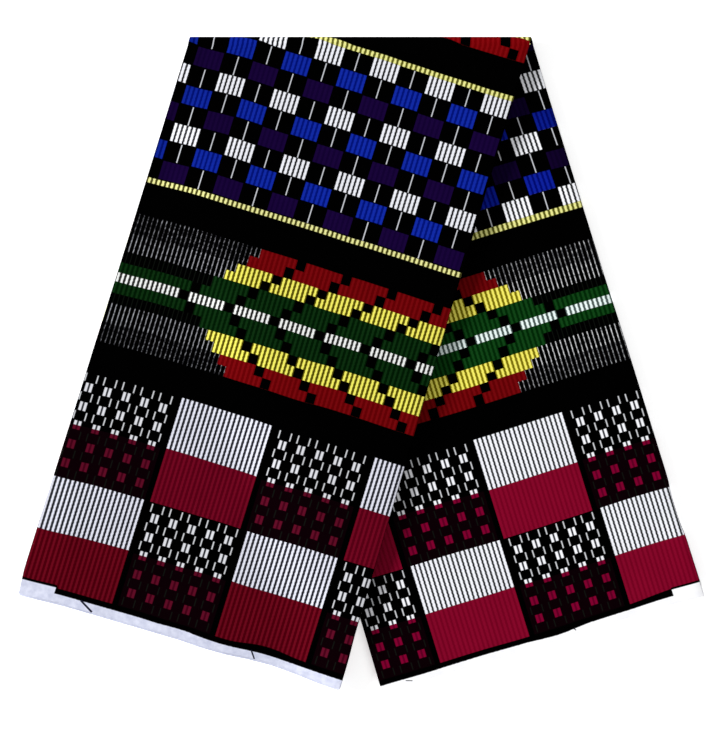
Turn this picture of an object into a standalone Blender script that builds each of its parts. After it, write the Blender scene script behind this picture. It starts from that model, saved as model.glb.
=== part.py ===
"""A folded length of wax print cloth, laid face up as an upside-down V.

The cloth is folded back and forth into panels about a foot wide, and the strip of panels
is folded once more across its middle.  The left leg of the V lies over the right leg
beside the crease, and comes down to the surface where the right leg no longer holds it up.

Units are metres.  +X is the right of the laid cloth, +Y points from the ends of the legs
to the crease, and +Z is up out of the printed face.  The sizes below are measured from the
lowest corner of the V, in line with the middle of its crease, and the finished cloth is
moved so that the origin is at the middle of the foot of its box.
"""

import math
from collections import namedtuple

import bpy

MM = 0.001

# Cloth and its layers
SHEET = 1.0 * MM
LAYER_GAP = 0.4 * MM
LAYERS = 6
PITCH = SHEET + LAYER_GAP

# The crease across the middle of the strip
CREASE_LENGTH = 0.317
CREASE_Y = 0.6104
INNER_BEND = 1.0 * MM
OUTER_BEND = INNER_BEND + (LAYERS - 1) * PITCH
BEND_HEIGHT = OUTER_BEND + SHEET / 2

# Corners of the two ends of the strip: its own left and right side, as seen on each leg
Leg = namedtuple("Leg", "left_x left_y right_x right_y")
LEFT_LEG = Leg(left_x=-0.3182, left_y=0.0939, right_x=-0.0191, right_y=0.0049)
RIGHT_LEG = Leg(left_x=0.0175, left_y=0.0010, right_x=0.3199, right_y=0.0905)

# How the left leg comes down to the surface beside the right leg
RAMP_START = 8 * MM
RAMP_WIDTH = 70 * MM
FULL_DROP = OUTER_BEND + INNER_BEND

# Unevenness of each layer: how far its two ends reach past the neat line
Layer = namedtuple("Layer", "left_end right_end")
LAYER_ENDS = (
    Layer(left_end=0.0 * MM, right_end=-1.0 * MM),
    Layer(left_end=1.6 * MM, right_end=-2.2 * MM),
    Layer(left_end=0.4 * MM, right_end=-0.6 * MM),
    Layer(left_end=2.2 * MM, right_end=-1.8 * MM),
    Layer(left_end=1.0 * MM, right_end=-1.2 * MM),
    Layer(left_end=-0.6 * MM, right_end=0.0 * MM),
)

# Unevenness of each fold: how far it reaches past the side of the strip.  The first row
# is the raw end of the top layer, and the last row that of the bottom layer.
Fold = namedtuple("Fold", "side reach")
LEFT_SIDE = -1
RIGHT_SIDE = 1
FOLDS = (
    Fold(side=LEFT_SIDE, reach=0.2 * MM),
    Fold(side=RIGHT_SIDE, reach=0.0 * MM),
    Fold(side=LEFT_SIDE, reach=-1.4 * MM),
    Fold(side=RIGHT_SIDE, reach=-1.0 * MM),
    Fold(side=LEFT_SIDE, reach=-0.6 * MM),
    Fold(side=RIGHT_SIDE, reach=0.4 * MM),
    Fold(side=LEFT_SIDE, reach=-1.0 * MM),
)

# Waves of the outline: place along the edge from 0 to 1, and how far it bulges out
Wave = namedtuple("Wave", "place bulge")
LEFT_END_WAVES = (
    Wave(0.00, 0.0 * MM),
    Wave(0.15, -2.0 * MM),
    Wave(0.50, -2.4 * MM),
    Wave(0.60, -1.2 * MM),
    Wave(0.77, -4.4 * MM),
    Wave(1.00, 0.0 * MM),
)
RIGHT_END_WAVES = (
    Wave(0.00, 0.0 * MM),
    Wave(0.15, 0.8 * MM),
    Wave(0.44, 1.6 * MM),
    Wave(0.68, -0.4 * MM),
    Wave(0.90, -0.9 * MM),
    Wave(1.00, 0.0 * MM),
)
LEFT_SIDE_WAVES = (
    Wave(0.00, 0.0 * MM),
    Wave(0.60, 0.8 * MM),
    Wave(0.84, -0.4 * MM),
    Wave(0.95, 3.0 * MM),
    Wave(1.00, 0.6 * MM),
)
RIGHT_SIDE_WAVES = (
    Wave(0.00, 0.0 * MM),
    Wave(0.66, 1.8 * MM),
    Wave(0.85, -2.4 * MM),
    Wave(1.00, 0.0 * MM),
)

# Fineness of the mesh
COLUMNS = 9
TURN_STEPS = 3
BEND_STEPS = 8
LEFT_ROWS = 16
RIGHT_ROWS = 6

CLOTH_COLOUR = (0.012, 0.008, 0.014, 1.0)
CLOTH_ROUGHNESS = 0.82

# A place on the section: fraction across the strip, offset past that, height in the stack,
# and the direction of the sheet's upper face there
SectionPoint = namedtuple("SectionPoint", "across offset height face_across face_up")


def clear_scene():
    """Remove whatever the scene holds."""
    for item in list(bpy.data.objects):
        bpy.data.objects.remove(item, do_unlink=True)


def mix(start, end, share):
    """Go from one value to another."""
    return start + (end - start) * share


def smooth_step(share):
    """Ease from 0 to 1, level at both ends."""
    share = min(1.0, max(0.0, share))
    return share * share * (3 - 2 * share)


def wave_at(waves, place):
    """Read a bulge from a table of waves, eased from row to row."""
    for before, after in zip(waves, waves[1:]):
        if place <= after.place:
            share = (place - before.place) / (after.place - before.place)
            return mix(before.bulge, after.bulge, smooth_step(share))
    return waves[-1].bulge


def layer_height(layer):
    """Height of a layer's middle in the stack, where layer 0 is on top."""
    return (LAYERS - 1 - layer) * PITCH


def section_points():
    """The back-and-forth section of the stack, from the top layer down."""
    points = []
    for layer in range(LAYERS):
        rightward = layer % 2 == 0
        start_fold = FOLDS[layer]
        end_fold = FOLDS[layer + 1]
        facing = 1 if rightward else -1
        for column in range(COLUMNS + 1):
            share = column / COLUMNS
            across = share if rightward else 1 - share
            offset = 0.0
            if column == 0:
                offset = start_fold.side * start_fold.reach
            if column == COLUMNS:
                offset = end_fold.side * end_fold.reach
            points.append(SectionPoint(across, offset, layer_height(layer), 0.0, facing))
        if layer < LAYERS - 1:
            points.extend(turn_points(layer, end_fold, facing))
    return points


def turn_points(layer, fold, facing):
    """The points between two layers, around the fold that joins them."""
    points = []
    across = 1.0 if fold.side == RIGHT_SIDE else 0.0
    middle = (layer_height(layer) + layer_height(layer + 1)) / 2
    for step in range(1, TURN_STEPS):
        angle = math.pi / 2 - math.pi * step / TURN_STEPS
        outward = fold.side * math.cos(angle)
        upward = math.sin(angle)
        offset = fold.side * fold.reach + outward * PITCH / 2
        height = middle + upward * PITCH / 2
        points.append(SectionPoint(across, offset, height, facing * outward, facing * upward))
    return points


def layer_share(height, column_name):
    """Reach of the layers' ends at a height in the stack, eased between layers."""
    level = LAYERS - 1 - height / PITCH
    level = min(LAYERS - 1.0, max(0.0, level))
    upper = int(level)
    lower = min(LAYERS - 1, upper + 1)
    first = getattr(LAYER_ENDS[upper], column_name)
    second = getattr(LAYER_ENDS[lower], column_name)
    return mix(first, second, level - upper)


def unit(x, y):
    """A direction in the plan, of length 1."""
    length = math.hypot(x, y)
    return x / length, y / length


def crease_x(across):
    """Place on the crease of a fraction across the strip."""
    return mix(-CREASE_LENGTH / 2, CREASE_LENGTH / 2, across)


def leg_slope(leg, across):
    """Sideways run of a leg's thread for each metre down from the crease."""
    end_x = mix(leg.left_x, leg.right_x, across)
    end_y = mix(leg.left_y, leg.right_y, across)
    return (end_x - crease_x(across)) / (CREASE_Y - end_y)


def hidden_side_distance(x, y):
    """How far a place lies to the left of the right leg's left side."""
    start_x = -CREASE_LENGTH / 2
    run_x, run_y = unit(RIGHT_LEG.left_x - start_x, RIGHT_LEG.left_y - CREASE_Y)
    return (x - start_x) * run_y - (y - CREASE_Y) * run_x


def drop_at(x, y):
    """How far the left leg has come down at a place in the plan."""
    beyond = hidden_side_distance(x, y) - RAMP_START
    return FULL_DROP * smooth_step(beyond / RAMP_WIDTH)


def bend_point(point, offset, height, turn):
    """A point on the crease, where turn goes from -1 on the left leg to 1 on the right."""
    angle = turn * math.pi / 2
    radius = INNER_BEND + height
    middle_radius = (INNER_BEND + OUTER_BEND) / 2
    leg = LEFT_LEG if turn < 0 else RIGHT_LEG
    run = abs(angle) * middle_radius
    x = crease_x(point.across) + offset + leg_slope(leg, point.across) * run
    y = CREASE_Y - OUTER_BEND - SHEET / 2 + radius * math.cos(angle)
    z = BEND_HEIGHT - radius * math.sin(angle)
    return x, y, z


def leg_point(point, offset, height, leg, share):
    """A point on a leg, at a share of its length from the crease."""
    is_left = leg is LEFT_LEG
    turn = -1 if is_left else 1
    start_x, start_y, start_z = bend_point(point, offset, height, turn)
    across_x, across_y = unit(leg.right_x - leg.left_x, leg.right_y - leg.left_y)
    down_x, down_y = (across_y, -across_x)
    waves = LEFT_END_WAVES if is_left else RIGHT_END_WAVES
    reach = layer_share(height, "left_end" if is_left else "right_end")
    reach += wave_at(waves, point.across)
    end_x = mix(leg.left_x, leg.right_x, point.across) + offset * across_x + reach * down_x
    end_y = mix(leg.left_y, leg.right_y, point.across) + offset * across_y + reach * down_y
    x = mix(start_x, end_x, share)
    y = mix(start_y, end_y, share)
    if is_left:
        x -= (1 - point.across) ** 4 * wave_at(LEFT_SIDE_WAVES, share)
        return x, y, start_z - drop_at(x, y)
    x += point.across ** 4 * wave_at(RIGHT_SIDE_WAVES, share)
    return x, y, start_z


def stations():
    """The rows of the mesh from the left leg's end, over the crease, to the right's."""
    rows = []
    for row in range(LEFT_ROWS, 0, -1):
        rows.append((LEFT_LEG, row / LEFT_ROWS))
    for step in range(BEND_STEPS + 1):
        rows.append((None, -1 + 2 * step / BEND_STEPS))
    for row in range(1, RIGHT_ROWS + 1):
        rows.append((RIGHT_LEG, row / RIGHT_ROWS))
    return rows


def sheet_vertex(point, face, station):
    """A vertex of the sheet: face is 1 for its printed side and -1 for its back."""
    leg, place = station
    offset = point.offset + face * point.face_across * SHEET / 2
    height = point.height + face * point.face_up * SHEET / 2
    if leg is None:
        return bend_point(point, offset, height, place)
    return leg_point(point, offset, height, leg, place)


def split_quad(corners, leaning):
    """Cut four corners into two triangles, along the same diagonal in every layer."""
    a, b, c, d = corners
    if leaning:
        return [(a, b, c), (a, c, d)]
    return [(a, b, d), (b, c, d)]


def sheet_faces(section, row_count):
    """Triangles of both faces and of the four edges of the sheet."""
    count = len(section)

    def index(face, row, column):
        return (face * row_count + row) * count + column

    faces = []
    for row in range(row_count - 1):
        for column in range(count - 1):
            leaning = section[column].face_up + section[column + 1].face_up < 0
            for face in (0, 1):
                corners = (
                    index(face, row, column),
                    index(face, row, column + 1),
                    index(face, row + 1, column + 1),
                    index(face, row + 1, column),
                )
                for triangle in split_quad(corners, leaning):
                    faces.append(triangle if face == 0 else triangle[::-1])
    for row in range(row_count - 1):
        for column, flip in ((0, False), (count - 1, True)):
            corners = (
                index(0, row, column),
                index(0, row + 1, column),
                index(1, row + 1, column),
                index(1, row, column),
            )
            for triangle in split_quad(corners, True):
                faces.append(triangle[::-1] if flip else triangle)
    for column in range(count - 1):
        for row, flip in ((0, True), (row_count - 1, False)):
            corners = (
                index(0, row, column),
                index(0, row, column + 1),
                index(1, row, column + 1),
                index(1, row, column),
            )
            for triangle in split_quad(corners, True):
                faces.append(triangle[::-1] if flip else triangle)
    return faces


def cloth_material():
    """The dark ground of the print."""
    material = bpy.data.materials.new("wax_print_cotton")
    material.use_nodes = True
    shader = material.node_tree.nodes["Principled BSDF"]
    shader.inputs["Base Color"].default_value = CLOTH_COLOUR
    shader.inputs["Roughness"].default_value = CLOTH_ROUGHNESS
    shader.inputs["Metallic"].default_value = 0.0
    return material


def centred(vertices):
    """Shift the vertices until the origin is at the middle of the foot of their box."""
    middle_x = (min(v[0] for v in vertices) + max(v[0] for v in vertices)) / 2
    middle_y = (min(v[1] for v in vertices) + max(v[1] for v in vertices)) / 2
    foot_z = min(v[2] for v in vertices)
    return [(x - middle_x, y - middle_y, z - foot_z) for x, y, z in vertices]


def build_folded_cloth():
    """Build the one sheet of the folded cloth."""
    section = section_points()
    rows = stations()
    vertices = []
    for face in (1, -1):
        for station in rows:
            vertices.extend(sheet_vertex(point, face, station) for point in section)
    mesh = bpy.data.meshes.new("folded_cloth")
    mesh.from_pydata(centred(vertices), [], sheet_faces(section, len(rows)))
    mesh.validate()
    mesh.materials.append(cloth_material())
    cloth = bpy.data.objects.new("folded_cloth", mesh)
    bpy.context.collection.objects.link(cloth)
    return cloth


def main():
    """Build the whole part."""
    clear_scene()
    build_folded_cloth()


main()
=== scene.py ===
"""Looks for a folded length of wax print cloth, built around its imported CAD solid.

The cloth is one thin sheet, folded back and forth into panels and once more across the
middle of the strip, as its solid is.  Its print follows a chart in the cloth's own measure:
"along" runs the length of the cloth, across the panels, and "up" runs across the cloth, from
the left leg's selvedge to the right leg's.  The near half of the cloth is the left leg's and
the far half is the right leg's.  A rib is one printed bar and the gap beside it.  Lengths of
the scene are metres, and lengths of the chart are millimetres of cloth.
"""

import logging
import math
from dataclasses import dataclass
from enum import Enum
from typing import Iterable, NamedTuple, Optional, Sequence, Union

import bpy
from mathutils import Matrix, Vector


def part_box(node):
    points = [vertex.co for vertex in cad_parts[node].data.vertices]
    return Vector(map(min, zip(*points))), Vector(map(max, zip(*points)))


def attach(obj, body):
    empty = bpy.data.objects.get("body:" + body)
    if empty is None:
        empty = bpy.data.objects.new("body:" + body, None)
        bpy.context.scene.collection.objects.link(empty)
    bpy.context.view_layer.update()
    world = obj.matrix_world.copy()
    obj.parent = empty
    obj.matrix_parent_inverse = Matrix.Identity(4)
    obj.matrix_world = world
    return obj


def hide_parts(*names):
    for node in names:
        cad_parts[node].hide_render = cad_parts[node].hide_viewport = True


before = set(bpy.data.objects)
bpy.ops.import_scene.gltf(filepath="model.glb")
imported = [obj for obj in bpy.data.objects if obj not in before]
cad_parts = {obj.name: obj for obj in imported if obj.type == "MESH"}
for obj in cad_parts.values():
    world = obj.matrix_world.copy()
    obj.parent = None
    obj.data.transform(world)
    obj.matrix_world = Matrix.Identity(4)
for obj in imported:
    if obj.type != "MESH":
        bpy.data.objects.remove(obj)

logging.basicConfig(level=logging.INFO, format="%(name)s: %(message)s")
LOG = logging.getLogger("wax_print")

MM = 0.001
MM_PER_METRE = 1000
CAD_NODE = "folded_cloth"
CAD_BODY = "root"
PRINT_MAP = "print_measure"
BAKE_MAP = "OFBake"
SCREEN_WHITE = 255
SCREEN_DARK = 0.04045
SCREEN_DARK_SLOPE = 12.92
SCREEN_OFFSET = 0.055
SCREEN_POWER = 2.4
MIX_UNDER = 6
MIX_OVER = 7
MIX_RESULT = 2

RGB = tuple[float, float, float]
Colour = Union[RGB, bpy.types.NodeSocket]
Number = Union[float, "Signal"]


def mix(start: float, end: float, share: float) -> float:
    """Go from one value to another."""
    return start + (end - start) * share


def clamp(share: float) -> float:
    """Keep a share from 0 to 1."""
    return min(1.0, max(0.0, share))


def smooth_step(share: float) -> float:
    """Ease from 0 to 1, level at both ends."""
    share = clamp(share)
    return share * share * (3 - 2 * share)


def unit(x: float, y: float) -> tuple[float, float]:
    """Return a direction in the plan, of length 1."""
    length = math.hypot(x, y)
    return x / length, y / length


def add_object(name: str, data: bpy.types.ID) -> bpy.types.Object:
    """Add an object to the scene.

    Args:
        name: Its name.
        data: Its mesh, light or camera.

    Returns:
        The object.
    """
    made = bpy.data.objects.new(name, data)
    bpy.context.scene.collection.objects.link(made)
    return made


class Wave(NamedTuple):
    """How far an outline bulges out at a place along it, from 0 to 1."""

    place: float
    bulge: float


def wave_table(*rows: tuple[float, float]) -> tuple[Wave, ...]:
    """Make a table of waves from places and bulges in millimetres."""
    return tuple(Wave(place, bulge * MM) for place, bulge in rows)


def wave_at(waves: Sequence[Wave], place: float) -> float:
    """Read a bulge from a table of waves, eased from row to row.

    Args:
        waves: The table, in order of place.
        place: Where to read it, from 0 to 1.

    Returns:
        The bulge in metres.
    """
    for before, after in zip(waves, waves[1:]):
        if place <= after.place:
            share = (place - before.place) / (after.place - before.place)
            return mix(before.bulge, after.bulge, smooth_step(share))
    return waves[-1].bulge


class Side(Enum):
    """The two sides of the strip, as seen from above."""

    LEFT = -1
    RIGHT = 1


class Fold(NamedTuple):
    """A turned or raw side of the strip, and how far it reaches past the neat line."""

    side: Side
    reach: float


class Pull(NamedTuple):
    """A place on a leg where the cloth was pulled out of true, and how far around it."""

    across: float
    height: float
    wide: float
    high: float
    up: float

    def share_at(self, across: float, height: float) -> float:
        """Return how much of the pull there is at a place on the leg."""
        aside, over = (across - self.across) / self.wide, (height - self.height) / self.high
        return math.exp(-aside * aside - over * over)


@dataclass(frozen=True)
class Leg:
    """One leg of the V: the corners of its end, and how uneven its outline and print are."""

    left: tuple[float, float]
    right: tuple[float, float]
    turn: int
    layer_ends: tuple[float, ...]
    end_waves: tuple[Wave, ...]
    left_waves: tuple[Wave, ...]
    right_waves: tuple[Wave, ...]
    end_lean: tuple[Wave, ...]
    body_lean: tuple[Wave, ...]
    slip: tuple[Wave, ...]
    slip_low: float
    slip_high: float
    pulls: tuple[Pull, ...]

    @property
    def across(self) -> tuple[float, float]:
        """Direction of the leg's end, from its left to its right."""
        return unit(self.right[0] - self.left[0], self.right[1] - self.left[1])

    @property
    def down(self) -> tuple[float, float]:
        """Direction away from the crease, square to the leg's end."""
        across_x, across_y = self.across
        return across_y, -across_x

    @property
    def end_width(self) -> float:
        """Width of the strip at the leg's end."""
        return math.hypot(self.right[0] - self.left[0], self.right[1] - self.left[1])

    def end_point(self, across: float) -> tuple[float, float]:
        """Return the neat place on the leg's end at a fraction across the strip."""
        return mix(self.left[0], self.right[0], across), mix(self.left[1], self.right[1], across)


LEFT_LEG = Leg(
    left=(-0.3182, 0.0939),
    right=(-0.0191, 0.0049),
    turn=-1,
    layer_ends=(0.0, 1.6 * MM, 0.4 * MM, 2.2 * MM, 1.0 * MM, -0.6 * MM),
    end_waves=wave_table((0.00, 0.0), (0.15, -2.0), (0.50, -2.4), (0.60, -1.2), (0.77, -4.4), (1.00, 0.0)),
    left_waves=wave_table((0.00, 0.0), (0.30, 0.2), (0.60, 0.8), (0.75, 1.2), (0.95, 1.7), (1.00, 0.0)),
    right_waves=wave_table((0.00, 0.0), (0.82, -0.8), (0.91, -0.9), (0.96, 0.0), (1.00, 0.0)),
    end_lean=wave_table(
        (0.00, 0.0), (0.15, 0.4), (0.36, 0.2), (0.47, 1.0), (0.57, 0.8), (0.68, 1.6), (0.80, 1.9),
        (1.00, 0.0),
    ),
    body_lean=wave_table(
        (0.00, -1.0), (0.15, -2.2), (0.30, -1.4), (0.57, -0.8), (0.68, 0.3), (0.79, 1.5),
        (1.00, 1.4),
    ),
    slip=wave_table(
        (0.00, -0.5), (0.10, 0.0), (0.20, 0.8), (0.40, 1.25), (0.60, 1.25), (0.80, 0.75),
        (1.00, 0.0),
    ),
    slip_low=0.205,
    slip_high=0.390,
    pulls=(
        Pull(0.04, 0.060, 0.15, 0.040, 1.9 * MM),
        Pull(0.52, 0.070, 0.13, 0.045, -1.0 * MM),
        Pull(0.76, 0.055, 0.06, 0.030, 0.9 * MM),
        Pull(1.00, 0.115, 0.13, 0.070, -1.9 * MM),
        Pull(0.60, 0.080, 0.08, 0.035, -0.9 * MM),
        Pull(0.06, 0.298, 0.30, 0.042, 1.5 * MM),
        Pull(0.07, 0.490, 0.07, 0.050, 1.1 * MM),
        Pull(0.23, 0.470, 0.07, 0.060, -0.9 * MM),
        Pull(0.95, 0.560, 0.10, 0.030, 1.0 * MM),
    ),
)
RIGHT_LEG = Leg(
    left=(0.0175, 0.0010),
    right=(0.3199, 0.0905),
    turn=1,
    layer_ends=(-1.0 * MM, -2.2 * MM, -0.6 * MM, -1.8 * MM, -1.2 * MM, 0.0),
    end_waves=wave_table((0.00, 0.0), (0.15, 0.8), (0.44, 1.6), (0.68, -0.4), (0.90, -0.9), (1.00, 0.0)),
    left_waves=wave_table((0.00, 0.0), (0.80, 0.0), (0.91, -1.9), (1.00, -2.1)),
    right_waves=wave_table(
        (0.00, 0.0), (0.10, -0.4), (0.41, -0.5), (0.52, 0.0), (0.78, -0.1), (0.83, -1.8),
        (0.86, -1.8), (0.90, -0.2), (1.00, 0.0),
    ),
    end_lean=wave_table(
        (0.00, 2.3), (0.14, 1.9), (0.35, 0.8), (0.45, 1.1), (0.60, 1.7), (0.77, 1.1), (0.87, 0.5),
        (1.00, 0.0),
    ),
    body_lean=wave_table((0.00, 0.5), (0.62, 0.6), (0.80, 0.0), (1.00, -0.7)),
    slip=wave_table((0.00, 0.3), (0.30, 1.0), (0.50, 1.7), (0.70, 2.5), (0.85, 3.3), (1.00, 4.0)),
    slip_low=0.397,
    slip_high=0.509,
    pulls=(
        Pull(1.00, 0.275, 0.08, 0.030, 0.3 * MM),
        Pull(1.00, 0.373, 0.30, 0.018, 0.5 * MM),
        Pull(0.48, 0.052, 0.08, 0.020, -1.1 * MM),
        Pull(0.86, 0.344, 0.15, 0.016, -0.8 * MM),
        Pull(1.00, 0.412, 0.08, 0.030, 1.6 * MM),
        Pull(1.00, 0.490, 0.12, 0.050, 3.5 * MM),
    ),
)


class Ripple(NamedTuple):
    """A soft ridge or trough, from a start to an end in the plan."""

    start: tuple[float, float]
    end: tuple[float, float]
    width: float
    rise: float

    def rise_at(self, x: float, y: float) -> float:
        """Read how far it lifts the cloth.

        Args:
            x: Place in the plan.
            y: Place in the plan.

        Returns:
            The lift in metres.
        """
        run_x, run_y = self.end[0] - self.start[0], self.end[1] - self.start[1]
        length = math.hypot(run_x, run_y)
        along = ((x - self.start[0]) * run_x + (y - self.start[1]) * run_y) / length
        aside = ((x - self.start[0]) * run_y - (y - self.start[1]) * run_x) / length
        past = max(0.0, -along, along - length)
        return self.rise * math.exp(-(aside * aside + past * past) / self.width ** 2)


RIPPLES = (
    Ripple((-0.291, 0.075), (-0.262, 0.180), 13 * MM, 0.7 * MM),
    Ripple((-0.232, 0.062), (-0.203, 0.150), 17 * MM, -0.5 * MM),
    Ripple((-0.150, 0.036), (-0.118, 0.170), 15 * MM, 0.8 * MM),
    Ripple((-0.082, 0.020), (-0.048, 0.120), 18 * MM, -0.6 * MM),
    Ripple((-0.236, 0.300), (-0.150, 0.270), 24 * MM, 0.5 * MM),
    Ripple((-0.190, 0.420), (-0.080, 0.380), 26 * MM, -0.5 * MM),
    Ripple((0.060, 0.010), (0.034, 0.140), 17 * MM, 0.7 * MM),
    Ripple((0.150, 0.042), (0.118, 0.160), 15 * MM, -0.6 * MM),
    Ripple((0.235, 0.064), (0.212, 0.150), 14 * MM, 0.7 * MM),
    Ripple((0.296, 0.083), (0.262, 0.200), 12 * MM, -0.5 * MM),
    Ripple((0.110, 0.290), (0.210, 0.325), 24 * MM, 0.5 * MM),
)


class SectionPoint(NamedTuple):
    """A place on the section of the strip, and how it lies on the flat cloth."""

    across: float
    reach: float
    round: float
    height: float
    face_across: float
    face_up: float
    run: float
    taper: float


class Station(NamedTuple):
    """A row of the mesh: a leg and a share of its length, or no leg and a turn."""

    leg: Optional[Leg]
    place: float


@dataclass(frozen=True)
class FoldedCloth:
    """The one sheet of printed cotton, on the folds of its solid."""

    cad_sheet: float = 1.0 * MM
    cloth: float = 0.42 * MM
    layers: int = 6
    pitch: float = 1.4 * MM
    crease_length: float = 0.317
    crease_y: float = 0.6104
    inner_bend: float = 1.0 * MM
    ramp_start: float = 8 * MM
    ramp_width: float = 70 * MM
    folds: tuple[Fold, ...] = (
        Fold(Side.LEFT, -1.2 * MM),
        Fold(Side.RIGHT, -0.1 * MM),
        Fold(Side.LEFT, -2.8 * MM),
        Fold(Side.RIGHT, -1.2 * MM),
        Fold(Side.LEFT, -2.0 * MM),
        Fold(Side.RIGHT, -0.6 * MM),
        Fold(Side.LEFT, -1.0 * MM),
    )
    fold_reach_share: float = 1 / 9
    tapers: tuple[float, ...] = (0.0, 1.0, 0.75, 0.5, 0.25, 0.0, 1.0)
    panel: float = 0.3075
    selvedge: float = 8 * MM
    print_length: float = 1.1596
    lean_height: float = 0.39
    side_falloff: int = 4
    shown_columns: int = 44
    hidden_columns: int = 14
    turn_steps: int = 6
    bend_steps: int = 14
    left_rows: int = 72
    right_rows: int = 62
    ripple_height: float = 8 * MM
    sharp_degrees: float = 50.0

    @property
    def outer_bend(self) -> float:
        """Radius of the outermost layer round the crease."""
        return self.inner_bend + (self.layers - 1) * self.pitch

    @property
    def bend_height(self) -> float:
        """Height of the middle of the crease above the surface."""
        return self.outer_bend + self.cad_sheet / 2

    @property
    def turn_run(self) -> float:
        """Length of cloth in the turn between two layers."""
        return math.pi * self.pitch / 2

    def layer_height(self, layer: int) -> float:
        """Return the height of a layer's middle in the stack, where layer 0 is on top."""
        return (self.layers - 1 - layer) * self.pitch

    def layer_run(self, layer: int) -> tuple[float, float]:
        """Work out where a layer starts and ends along the cloth.

        Args:
            layer: Number of the layer, where layer 0 is on top.

        Returns:
            The start and the end, in metres.
        """
        inner = 0 < layer < self.layers - 1
        start = layer * self.panel + (self.turn_run if inner else 0.0)
        end = (layer + 1) * self.panel - (self.turn_run if layer == self.layers - 2 else 0.0)
        return start, end

    def section(self) -> list[SectionPoint]:
        """Draw the back-and-forth section of the stack.

        Returns:
            Its points, from the top layer down.
        """
        points = []
        for layer in range(self.layers):
            points.extend(self.layer_points(layer))
            if layer < self.layers - 1:
                points.extend(self.turn_points(layer))
        return points

    def layer_points(self, layer: int) -> list[SectionPoint]:
        """Draw the flat part of one layer.

        Args:
            layer: Number of the layer, where layer 0 is on top.

        Returns:
            Its points, in order along the cloth.
        """
        shown = layer in (0, self.layers - 1)
        columns = self.shown_columns if shown else self.hidden_columns
        rightward = layer % 2 == 0
        facing = 1 if rightward else -1
        first, last = self.folds[layer], self.folds[layer + 1]
        start, end = self.layer_run(layer)
        points = []
        for column in range(columns + 1):
            share = column / columns
            across = share if rightward else 1 - share
            near_first = max(0.0, 1 - share / self.fold_reach_share)
            near_last = max(0.0, 1 - (1 - share) / self.fold_reach_share)
            reach = first.side.value * first.reach * near_first
            reach += last.side.value * last.reach * near_last
            points.append(SectionPoint(
                across, reach, 0.0, self.layer_height(layer), 0.0, facing,
                mix(start, end, share), mix(self.tapers[layer], self.tapers[layer + 1], share),
            ))
        return points

    def turn_points(self, layer: int) -> list[SectionPoint]:
        """Draw the fold between a layer and the next.

        Args:
            layer: Number of the upper layer.

        Returns:
            The points round the fold, in order along the cloth.
        """
        fold = self.folds[layer + 1]
        facing = 1 if layer % 2 == 0 else -1
        across = 1.0 if fold.side is Side.RIGHT else 0.0
        middle = (self.layer_height(layer) + self.layer_height(layer + 1)) / 2
        start, end = self.layer_run(layer)[1], self.layer_run(layer + 1)[0]
        points = []
        for step in range(1, self.turn_steps):
            angle = math.pi / 2 - math.pi * step / self.turn_steps
            outward = fold.side.value * math.cos(angle)
            upward = math.sin(angle)
            reach = fold.side.value * fold.reach
            height = middle + upward * self.pitch / 2
            points.append(SectionPoint(
                across, reach, outward * self.pitch / 2, height,
                facing * outward, facing * upward,
                mix(start, end, step / self.turn_steps), self.tapers[layer + 1],
            ))
        return points

    def stations(self) -> list[Station]:
        """List the rows of the mesh.

        Returns:
            The rows from the left leg's end, over the crease, to the right leg's.
        """
        rows = [Station(LEFT_LEG, row / self.left_rows) for row in range(self.left_rows, 0, -1)]
        rows += [
            Station(None, -1 + 2 * step / self.bend_steps)
            for step in range(self.bend_steps + 1)
        ]
        rows += [Station(RIGHT_LEG, row / self.right_rows) for row in range(1, self.right_rows + 1)]
        return rows

    def crease_x(self, across: float) -> float:
        """Return the place on the crease of a fraction across the strip."""
        return mix(-self.crease_length / 2, self.crease_length / 2, across)

    def leg_slope(self, leg: Leg, across: float) -> float:
        """Return the sideways run of a leg's thread for each metre down from the crease."""
        end_x, end_y = leg.end_point(across)
        return (end_x - self.crease_x(across)) / (self.crease_y - end_y)

    def layer_reach(self, leg: Leg, height: float) -> float:
        """Work out how far a leg's ends reach, eased between layers.

        Args:
            leg: The leg.
            height: Height in the stack.

        Returns:
            The reach in metres.
        """
        level = min(self.layers - 1.0, max(0.0, self.layers - 1 - height / self.pitch))
        upper = int(level)
        lower = min(self.layers - 1, upper + 1)
        return mix(leg.layer_ends[upper], leg.layer_ends[lower], level - upper)

    def drop_at(self, x: float, y: float) -> float:
        """Work out how far the left leg has come down beside the right one.

        Args:
            x: Place in the plan.
            y: Place in the plan.

        Returns:
            The drop in metres.
        """
        start_x = -self.crease_length / 2
        run_x, run_y = unit(RIGHT_LEG.left[0] - start_x, RIGHT_LEG.left[1] - self.crease_y)
        beyond = (x - start_x) * run_y - (y - self.crease_y) * run_x - self.ramp_start
        full_drop = self.outer_bend + self.inner_bend
        return full_drop * smooth_step(beyond / self.ramp_width)

    def bend_place(
        self, point: SectionPoint, offset: float, height: float, turn: float
    ) -> tuple[float, float, float]:
        """Place a point on the crease.

        Args:
            point: The point of the section.
            offset: Sideways distance past the point's fraction across.
            height: Height in the stack.
            turn: From -1 on the left leg to 1 on the right leg.

        Returns:
            The place before the cloth is centred on its box.
        """
        angle = turn * math.pi / 2
        radius = self.inner_bend + height
        middle_radius = (self.inner_bend + self.outer_bend) / 2
        leg = LEFT_LEG if turn < 0 else RIGHT_LEG
        run = abs(angle) * middle_radius
        x = self.crease_x(point.across) + offset + self.leg_slope(leg, point.across) * run
        y = self.crease_y - self.bend_height + radius * math.cos(angle)
        z = self.bend_height - radius * math.sin(angle)
        return x, y, z

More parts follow.
